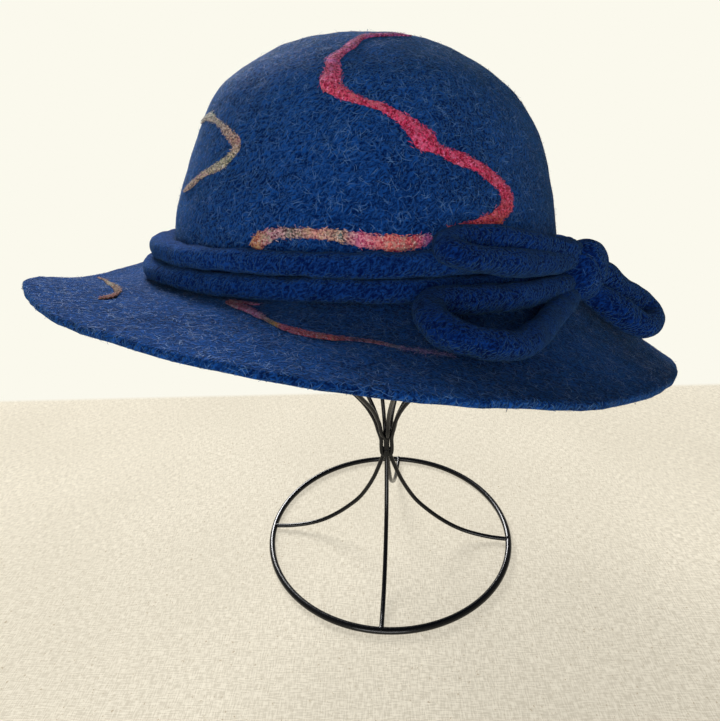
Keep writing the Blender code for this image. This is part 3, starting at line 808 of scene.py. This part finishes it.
def yarn_material(name, axis, tint, pale, rows, low, high):
    """Flecked yarn whose colours change from low to high along an axis, as its rows of shades say."""
    made, tree, shader = new_material(name, Roughness=0.9, Specular_IOR_Level=0.15, Sheen_Weight=0.1)
    above = calculate(tree, "SUBTRACT", place_along(tree, axis), low)
    share = calculate(tree, "DIVIDE", above, high - low, clamp=True)
    dark, light, other = (
        ramp_colours(tree, share, [(row[0], tinted(row[column], tint)) for row in rows])
        for column in (1, 2, 3)
    )
    flecks = add_group(tree, FLECKS, Fleck_Size=0.0009, Patch_Size=0.0020)
    patches = calculate(tree, "MULTIPLY", flecks.outputs["Patch"], 0.55)
    colour = blend_colours(tree, flecks.outputs["Fleck"], dark, light)
    colour = blend_colours(tree, patches, colour, other)
    colour = blend_colours(tree, flecks.outputs["Pale"], colour, tinted(pale, tint))
    tree.links.new(colour, shader.inputs["Base Color"])
    add_bump(tree, shader, flecks.outputs["Height"], 1.0, 0.0012)
    return made


def paint_material():
    made, tree, shader = new_material("black_paint", Specular_IOR_Level=0.22, Coat_Weight=0.12,
                                      Coat_Roughness=0.12)
    wear = add_group(tree, WEAR, Peel_Size=0.0012)
    colour = blend_colours(tree, wear.outputs["Worn"], PAINT, WORN_PAINT)
    tree.links.new(colour, shader.inputs["Base Color"])
    roughness = spread(tree, wear.outputs["Peel"], 0.3, 0.7, 0.20, 0.30)
    tree.links.new(roughness, shader.inputs["Roughness"])
    add_bump(tree, shader, wear.outputs["Peel"], 0.08, 0.0002)
    return made


def linen_material():
    """Woven linen with dark specks up to the cloth's end, and plain cream beyond it."""
    made, tree, shader = new_material("linen_floor", Roughness=0.95, Specular_IOR_Level=0.1,
                                      Emission_Strength=LINEN_GLOW)
    place = object_place(tree)
    threads = None
    for stretch in ((1500.0, 210.0, 1.0), (210.0, 1500.0, 1.0)):
        stretched = calculate_vector(tree, "MULTIPLY", place, stretch)
        thread = grain_noise(tree, stretched, 1.0, 1.0).outputs["Fac"]
        threads = thread if threads is None else calculate(tree, "ADD", threads, thread)
    weave = spread(tree, calculate(tree, "MULTIPLY", threads, 0.5), 0.36, 0.64)
    cloudy = spread(tree, grain_noise(tree, place, 7.0, 3.0).outputs["Fac"], 0.3, 0.7)
    specks = spread(tree, grain_noise(tree, place, 520.0, 2.0, 0.6).outputs["Fac"], 0.64, 0.74, 0.0, 0.8)
    tone = blend_colours(tree, cloudy, LINEN_DARK, LINEN_PALE)
    woven = blend_colours(tree, calculate(tree, "MULTIPLY", weave, 0.85), tone, LINEN_GAPS)
    flecked = blend_colours(tree, specks, woven, LINEN_SPECKS)
    tree.links.new(flecked, shader.inputs["Base Color"])
    tree.links.new(flecked, shader.inputs["Emission Color"])
    add_bump(tree, shader, weave, 0.35, 0.0005)
    cream = add_node(tree, "ShaderNodeEmission")
    set_inputs(cream, Color=CREAM)
    end = STAND.y + CLOTH_END
    beyond = spread(tree, place_along(tree, "Y"), end, end + CLOTH_EDGE)
    surface = tree.nodes["Material Output"].inputs["Surface"]
    mix_shaders(tree, beyond, shader.outputs[0], cream.outputs[0], surface)
    return made


def shell_piece(material):
    """Crown and brim as one sheet of felt, rim to top, thickened inwards, with a softly rounded cut rim."""
    columns = 220
    brim_rings = 24
    rings_per_row = 6
    azimuths = [math.tau * column / columns for column in range(columns)]
    seat = BAND_CORD / 2 + GAP
    bm = bmesh.new()
    rings = []
    for step in range(brim_rings, -1, -1):
        share = step / brim_rings
        ring = []
        for azimuth in azimuths:
            out = seat + (brim_row(azimuth)[0] - seat) * share
            point = at_wall(azimuth, out, brim_height(azimuth, out))
            outward = Vector((math.cos(azimuth), math.sin(azimuth), 0.0))
            ring.append(bm.verts.new(point + outward * layered(point, RIM_WANDER) * share ** 4))
        rings.append(ring)
    top_place = len(CROWN_ROWS)
    for step in range(top_place * rings_per_row):
        rings.append([bm.verts.new(crown_point(azimuth, step / rings_per_row)) for azimuth in azimuths])
    for lower, upper in zip(rings, rings[1:]):
        bridge(bm, lower, upper)
    close_end(bm, rings[-1], bm.verts.new(crown_point(0.0, top_place)))
    bm.normal_update()
    for vert in bm.verts:
        vert.co += vert.normal * layered(vert.co, FELT_SWELL)
    shell = new_piece("crown_and_brim", bm, material, ("felt_body",))
    thicken = shell.modifiers.new("felt_thickness", "SOLIDIFY")
    thicken.thickness = FELT
    thicken.offset = -1.0
    rounded = shell.modifiers.new("rounded_rim", "BEVEL")
    rounded.width = 0.0011
    rounded.segments = 3
    rounded.limit_method = "ANGLE"
    rounded.angle_limit = math.radians(55)
    apply_modifiers(shell)
    return shell


def band_piece(name, node, height, ease, sink, seed, material):
    """A rolled cord round the crown's foot, flatter where it eases out at the left, drawn in by the bow."""
    columns = 300
    centres = []
    reaches = []
    flats = []
    for column in range(columns):
        azimuth = math.tau * column / columns
        eased = ease * max(-math.cos(azimuth), 0.0) ** 2
        drawn = max(math.cos(azimuth - BOW_SIDE), 0.0) ** 3
        centre = at_wall(azimuth, (BAND_CORD + eased) / 2 + GAP, height - sink * drawn)
        centre.z += 0.0006 * lumps(centre, 0.030, seed)
        fuller = 1.0 + 0.07 * lumps(centre, 0.022, seed + 3.0)
        half = BAND_CORD / 2 * (1.0 - BOW_SQUEEZE * drawn) * fuller
        centres.append(centre)
        reaches.append(half + eased / 2)
        flats.append(half / (half + eased / 2))
    bm = bmesh.new()
    tube(bm, centres, reaches, 28, closed=True, flat=flats, square=2.9, lump=0.0008, grain=0.009, seed=seed)
    return new_piece(name, bm, material, (node,))


def loop_piece(name, node, seed, material):
    rows = [(math.radians(row[0]), *row[1:]) for row in BOW_LOOPS[node]]
    centres = []
    radii = []
    for row in smooth_rows(rows, 9):
        centre = bow_centre(*row)
        centres.append(centre)
        radii.append(row[-1] * BOW_CORD / 2 * (1.02 + 0.07 * lumps(centre, 0.016, seed)))
    bm = bmesh.new()
    tube(bm, centres, radii, 26, square=2.25, lump=0.0008, grain=0.008, seed=seed, round_ends=True)
    return new_piece(name, bm, material, (node,))


def knot_piece(material):
    """The wrapped turn of cord over the crossing, with slanting creases between its strands."""
    bm = bmesh.new()
    bmesh.ops.create_icosphere(bm, subdivisions=6, radius=1.0)
    centre = at_wall(KNOT_AZIMUTH, BAND_CORD + 2 * GAP + KNOT_DEEP / 2, -KNOT_SINK)
    turn = Matrix.Rotation(KNOT_AZIMUTH, 4, "Z")
    sizes = Vector((KNOT_DEEP / 2, KNOT_ACROSS / 2, KNOT_HIGH / 2))
    for vert in bm.verts:
        squarer = Vector([math.copysign(abs(value) ** 0.85, value) for value in vert.co])
        point = Vector([value * size for value, size in zip(squarer, sizes)])
        beside = point.y * math.cos(KNOT_SLANT) + point.z * math.sin(KNOT_SLANT)
        crease = sum(math.exp(-((beside - line) / CREASE_WIDTH) ** 2) for line in KNOT_CREASES)
        point -= vert.co.normalized() * CREASE_DEPTH * crease
        point += vert.co.normalized() * 0.0005 * lumps(point, 0.006, 9.0)
        vert.co = centre + turn @ point
    return new_piece("knot_wrap", bm, material, ("bow_knot",))


def scatter(mesh, count, choose):
    """Random points on a mesh with their normals, spread evenly by area."""
    areas = []
    total = 0.0
    for face in mesh.polygons:
        total += face.area
        areas.append(total)
    found = []
    places = sorted(choose.random() * total for _ in range(count))
    index = 0
    for place in places:
        while areas[index] < place:
            index += 1
        face = mesh.polygons[index]
        corners = [mesh.vertices[v].co for v in face.vertices]
        first, second = sorted((choose.random(), choose.random()))
        point = corners[0] * first + corners[1] * (second - first) + corners[2] * (1.0 - second)
        if len(corners) == 4 and choose.random() < 0.5:
            point = corners[0] * first + corners[2] * (second - first) + corners[3] * (1.0 - second)
        found.append((point, face.normal.copy()))
    return found


def tree_of(pieces):
    """One search tree over the outer surfaces of several pieces."""
    corners = []
    faces = []
    for piece in pieces:
        offset = len(corners)
        corners += [vert.co for vert in piece.data.vertices]
        faces += [[offset + v for v in face.vertices] for face in piece.data.polygons]
    return BVHTree.FromPolygons(corners, faces)


def fibre_path(point, normal, length, curl, lift, stray, choose, tree, heading=None):
    """Points and normals of one curly fibre that follows the surface."""
    segments = 3
    along = heading if heading is not None else Vector([choose.gauss(0.0, 1.0) for _ in range(3)])
    along = (along - normal * along.dot(normal)).normalized()
    step = length / segments
    path = []
    for index in range(segments + 1):
        share = index / segments
        rise = 0.00012 + lift * math.sin(math.pi * share) + stray * share * share
        path.append((point + normal * rise, normal))
        point = point + along * step
        if tree is not None:
            near, facing, _, _ = tree.find_nearest(point, 0.01)
            if near is not None:
                point = near
                normal = facing if facing.dot(normal) > 0 else -facing
        along = (along - normal * along.dot(normal)).normalized()
        along = Matrix.Rotation(curl * step, 3, normal) @ along
    return path


def add_fibre(corners, faces, path, width):
    """A thin ribbon along path, narrow at both ends."""
    first = len(corners)
    last = len(path) - 1
    for index, (point, normal) in enumerate(path):
        before = path[max(index - 1, 0)][0]
        after = path[min(index + 1, last)][0]
        side = (after - before).cross(normal).normalized()
        half = width / 2 * (0.25 if index in (0, last) else 1.0)
        corners += [point - side * half, point + side * half]
    for index in range(last):
        low = first + 2 * index
        faces.append((low, low + 1, low + 3, low + 2))


def fibre_piece(name, sources, material, length, width, stray, seed):
    """Loose fibres over several pieces, fewer inside the hat. sources holds pairs of piece and count."""
    choose = random.Random(seed)
    corners = []
    faces = []
    for piece, count in sources:
        tree = tree_of([piece])
        for point, normal in scatter(piece.data, count, choose):
            if normal.dot(point - BELOW_HAT) < 0 and choose.random() < BARE_INSIDE:
                continue
            reach = length * choose.uniform(0.6, 1.5)
            loose = stray * choose.uniform(0.4, 1.0) if choose.random() < STRAY_SHARE else 0.0
            raised = FIBRE_LIFT * choose.random() ** 2
            curl = choose.gauss(0.0, FIBRE_CURL)
            path = fibre_path(point, normal, reach, curl, raised, loose, choose, tree)
            add_fibre(corners, faces, path, width * choose.uniform(0.7, 1.2))
    mesh = bpy.data.meshes.new(name)
    mesh.from_pydata(corners, [], faces)
    mesh.materials.append(material)
    piece = link_object(name, mesh)
    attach(piece, "root")
    return piece


def surface_up(at, first, second):
    """A normal of a surface given as a function of azimuth and place."""
    step = 0.01
    along = at(first + step, second) - at(first - step, second)
    across = at(first, second + step) - at(first, second - step)
    return along.cross(across).normalized()


def fray(centres, normals, radii, strand, count, seed):
    """Fibres that fray over a yarn's edges, and go on loosely where it has no strand, in the row frame."""
    choose = random.Random(seed)
    turn = HAT.to_3x3()
    corners = []
    faces = []
    for _ in range(count):
        place = choose.uniform(0, len(centres) - 2)
        index = int(place)
        loose = index not in strand
        if loose and choose.random() < 0.35:
            continue
        half = LOOSE_YARN if loose else radii[index]
        normal = normals[index]
        along = (centres[index + 1] - centres[index]).normalized()
        side = along.cross(normal)
        off = choose.gauss(0.0, 0.6) if loose else choose.uniform(-1.2, 1.2)
        arch = 0.0 if loose else YARN_FLAT * half * math.sqrt(max(1.0 - off * off, 0.0))
        middle = centres[index].lerp(centres[index + 1], place - index)
        start = middle + side * off * half + normal * (arch + 0.0001)
        heading = along * choose.choice((-1.0, 1.0)) + side * choose.gauss(0.0, 0.3 if loose else 0.38)
        length = choose.uniform(0.0025, 0.0060) if loose else choose.uniform(0.0009, 0.0021)
        curl = choose.gauss(0.0, 300.0)
        lift = 0.00020 * choose.random()
        stray = 0.00015 * choose.random() ** 3
        path = fibre_path(start, normal, length, curl, lift, stray, choose, None, heading)
        placed = [(HAT @ point, turn @ facing) for point, facing in path]
        add_fibre(corners, faces, placed, choose.uniform(0.00014, 0.00026))
    return corners, faces


def add_faces(mesh, corners, faces):
    """Adds faces with corners of their own to a finished mesh."""
    bm = bmesh.new()
    bm.from_mesh(mesh)
    made = [bm.verts.new(corner) for corner in corners]
    for face in faces:
        bm.faces.new([made[index] for index in face])
    bm.to_mesh(mesh)
    bm.free()
    mesh.shade_smooth()


def yarn_piece(name, rows, at, outward, material, fibres, seed):
    """A lumpy flat strand pressed onto the felt, with fibres that fray over its edges and past its end."""
    centres = []
    normals = []
    radii = []
    for azimuth, place, width in smooth_rows(rows, 8):
        normal = surface_up(at, azimuth, place) * outward
        centre = at(azimuth, place) + normal * (YARN_THICK * 0.25)
        slub = 1.0 + 0.30 * lumps(centre, 0.0050, seed) + 0.12 * lumps(centre, 0.0022, seed + 5)
        centres.append(centre)
        normals.append(normal)
        radii.append(width * 0.0005 * slub)
    strand = [index for index, radius in enumerate(radii) if radius > THINNEST_STRAND]
    bm = bmesh.new()
    tube(bm, [centres[index] for index in strand], [radii[index] for index in strand], 18,
         up=[normals[index] for index in strand], flat=YARN_FLAT, lump=0.00045, grain=0.0013, seed=seed,
         round_ends=True)
    piece = new_piece(name, bm, material, (name,))
    corners, faces = fray(centres, normals, radii, strand, fibres, seed)
    add_faces(piece.data, corners, faces)
    return piece


def smooth_path(points, steps):
    return [Vector(row) for row in smooth_rows([tuple(point) for point in points], steps)]


def ring_wire(bm):
    ring = []
    columns = 180
    for column in range(columns):
        turn = math.tau * column / columns
        ring.append(Vector((RING_RADIUS * math.cos(turn), RING_RADIUS * math.sin(turn), RING_WIRE / 2)))
    tube(bm, ring, [RING_WIRE / 2] * columns, 18, closed=True)


def spoke(degrees, length, rows):
    """Points straight out from the stand's axis; rows hold reach as a share of length and height."""
    turn = math.radians(degrees)
    heading = Vector((math.cos(turn), math.sin(turn), 0.0))
    return [heading * length * reach + Vector((0.0, 0.0, height)) for reach, height in rows]


def leg_wire(bm, degrees):
    """A leg from the ring up to the hub, with the weld bead at its foot."""
    path = smooth_path(spoke(degrees, RING_RADIUS, LEG_ROWS), 6)
    turn = math.radians(degrees)
    tube(bm, path, [LEG_WIRE / 2] * len(path), 14, up=Vector((-math.sin(turn), math.cos(turn), 0.0)))
    seat = spoke(degrees, RING_RADIUS - BEAD_INSET, [(1.0, BEAD_LEVEL)])[0]
    bead = bmesh.ops.create_icosphere(bm, subdivisions=3, radius=1.0)["verts"]
    for vert in bead:
        around = vert.co * BEAD_RADIUS
        vert.co = seat + Vector((around.x, around.y, vert.co.z * BEAD_HALF_HEIGHT))


def hairpin_wire(bm, left, right, side, depth):
    """One wire from the top of the head down a rib, round its eye at the hub and up the next rib."""
    middle = side * EYE_ASIDE
    deep = depth * EYE_DEEP
    halves = []
    for degrees, hand in ((left, -1.0), (right, 1.0)):
        rib = spoke(degrees, HEAD_RADIUS, RIB_ROWS[::-1])
        down = [Vector((middle + hand * EYE_HALF_WIDTH * share, deep, height)) for share, height in EYE_ROWS]
        halves.append(rib + down)
    bottom = Vector((middle, deep, HUB_BOTTOM + RIB_WIRE / 2))
    path = smooth_path(halves[0] + [bottom] + halves[1][::-1], 6)
    tube(bm, path, [RIB_WIRE / 2] * len(path), 14, up=Vector((0.3, 1.0, 0.2)))


def stand_piece(material):
    """Ring, legs and four hairpin wires that each make two ribs of the head."""
    bm = bmesh.new()
    ring_wire(bm)
    for degrees in LEG_TURNS:
        leg_wire(bm, degrees)
    for hairpin in HAIRPINS:
        hairpin_wire(bm, *hairpin)
    return new_piece("bent_wire_stand", bm, material, ("wire_stand",), Matrix.Translation(STAND))


def build_yarns():
    seed = FIRST_YARN_SEED
    for at, outward, yarns in ((crown_point, 1.0, CROWN_YARNS), (brim_point, -1.0, BRIM_YARNS)):
        for name, rows in yarns.items():
            placed = [(math.radians(azimuth), crown_place(place) if outward > 0 else place, width)
                      for azimuth, place, width in rows]
            axis, fibres, tint, pale, shades = YARN_SHADES[name]
            reach = sorted((HAT @ at(azimuth, place))["XYZ".index(axis)] for azimuth, place, _ in placed)
            look = name.replace("yarn_", "") + "_yarn"
            yarn = yarn_material(look, axis, tint, pale, shades, reach[0], reach[-1])
            yarn_piece(name, placed, at, outward, yarn, fibres, seed)
            seed += 1


def build_hat():
    felts = {name: felt_material(name, *look) for name, look in FELTS.items()}
    cord_felt = felts["blue_cord_felt"]
    # The bow's loops and knot wear the darker copy of the cord felt, which is painted shade.
    bow_painted_shade_felt = felts["blue_bow_painted_shade_felt"]
    loose = fibre_material("loose_wool")
    shell = shell_piece(felts["blue_felt"])
    level = (BAND_CORD + GAP) / 2
    upper = band_piece("upper_band_cord", "band_cord_upper", level, UPPER_CORD_EASE, UPPER_CORD_SINK, 11.0,
                       cord_felt)
    lower = band_piece("lower_band_cord", "band_cord_lower", -level, LOWER_CORD_EASE, 0.0, 17.0, cord_felt)
    loops = [loop_piece(name, node, seed, bow_painted_shade_felt) for name, node, seed in (
        ("upper_bow_loop", "bow_loop_upper", 23.0),
        ("lower_bow_loop", "bow_loop_lower", 29.0),
        ("right_bow_loop", "bow_loop_right", 31.0),
    )]
    knot = knot_piece(bow_painted_shade_felt)
    fibre_piece("shell_fibres", [(shell, 44000)], loose,
                length=0.0038, width=0.00018, stray=0.0013, seed=41)
    sources = [(upper, 5000), (lower, 5000), *((loop, 1300) for loop in loops), (knot, 70)]
    fibre_piece("cord_fibres", sources, loose,
                length=0.0034, width=0.00019, stray=0.0010, seed=43)
    build_yarns()


def linen_floor():
    """A pale linen cloth that ends behind the stand, where the plain cream of the background takes over."""
    bm = bmesh.new()
    bmesh.ops.create_grid(bm, x_segments=1, y_segments=1, size=FLOOR_HALF_WIDTH)
    mesh = bpy.data.meshes.new("floor")
    bm.to_mesh(mesh)
    bm.free()
    floor = link_object("floor", mesh)
    floor.data.materials.append(linen_material())


def cream_world():
    """Dim even light from all round, and the background's cream wherever the camera looks past everything."""
    world = bpy.data.worlds.new("studio")
    bpy.context.scene.world = world
    world.use_nodes = True
    sky = world.node_tree
    sky.nodes.clear()
    output = add_node(sky, "ShaderNodeOutputWorld")
    seen = add_node(sky, "ShaderNodeBackground")
    set_inputs(seen, Color=CREAM)
    ambient = add_node(sky, "ShaderNodeBackground")
    set_inputs(ambient, Color=AMBIENT_COLOUR, Strength=AMBIENT)
    rays = add_node(sky, "ShaderNodeLightPath")
    straight = rays.outputs["Is Camera Ray"]
    mix_shaders(sky, straight, ambient.outputs[0], seen.outputs[0], output.inputs["Surface"])


def studio_lights():
    for name, (where, size, power) in LIGHTS.items():
        light = bpy.data.lights.new(name, "AREA")
        light.size = size
        light.energy = power
        lamp = link_object(name, light)
        lamp.location = STAND + where
        toward = STAND + Vector((0.0, 0.0, LIT_HEIGHT)) - lamp.location
        lamp.rotation_euler = toward.to_track_quat("-Z", "Y").to_euler()


def photo_camera():
    yaw = Matrix.Rotation(CAMERA_YAW, 4, "Z")
    pitch = Matrix.Rotation(math.pi / 2 - CAMERA_PITCH, 4, "X")
    roll = Matrix.Rotation(CAMERA_ROLL, 4, "Z")
    lens = bpy.data.cameras.new("photo_camera")
    lens.lens = LENS
    lens.sensor_width = SENSOR
    lens.sensor_fit = "HORIZONTAL"
    lens.clip_start = 0.01
    camera = link_object("photo_camera", lens)
    camera.matrix_world = Matrix.Translation(STAND + CAMERA_FROM_STAND) @ yaw @ pitch @ roll
    bpy.context.scene.camera = camera
    bpy.context.scene.view_settings.view_transform = "Standard"


photo_camera()
linen_floor()
cream_world()
studio_lights()
build_hat()
stand_piece(paint_material())
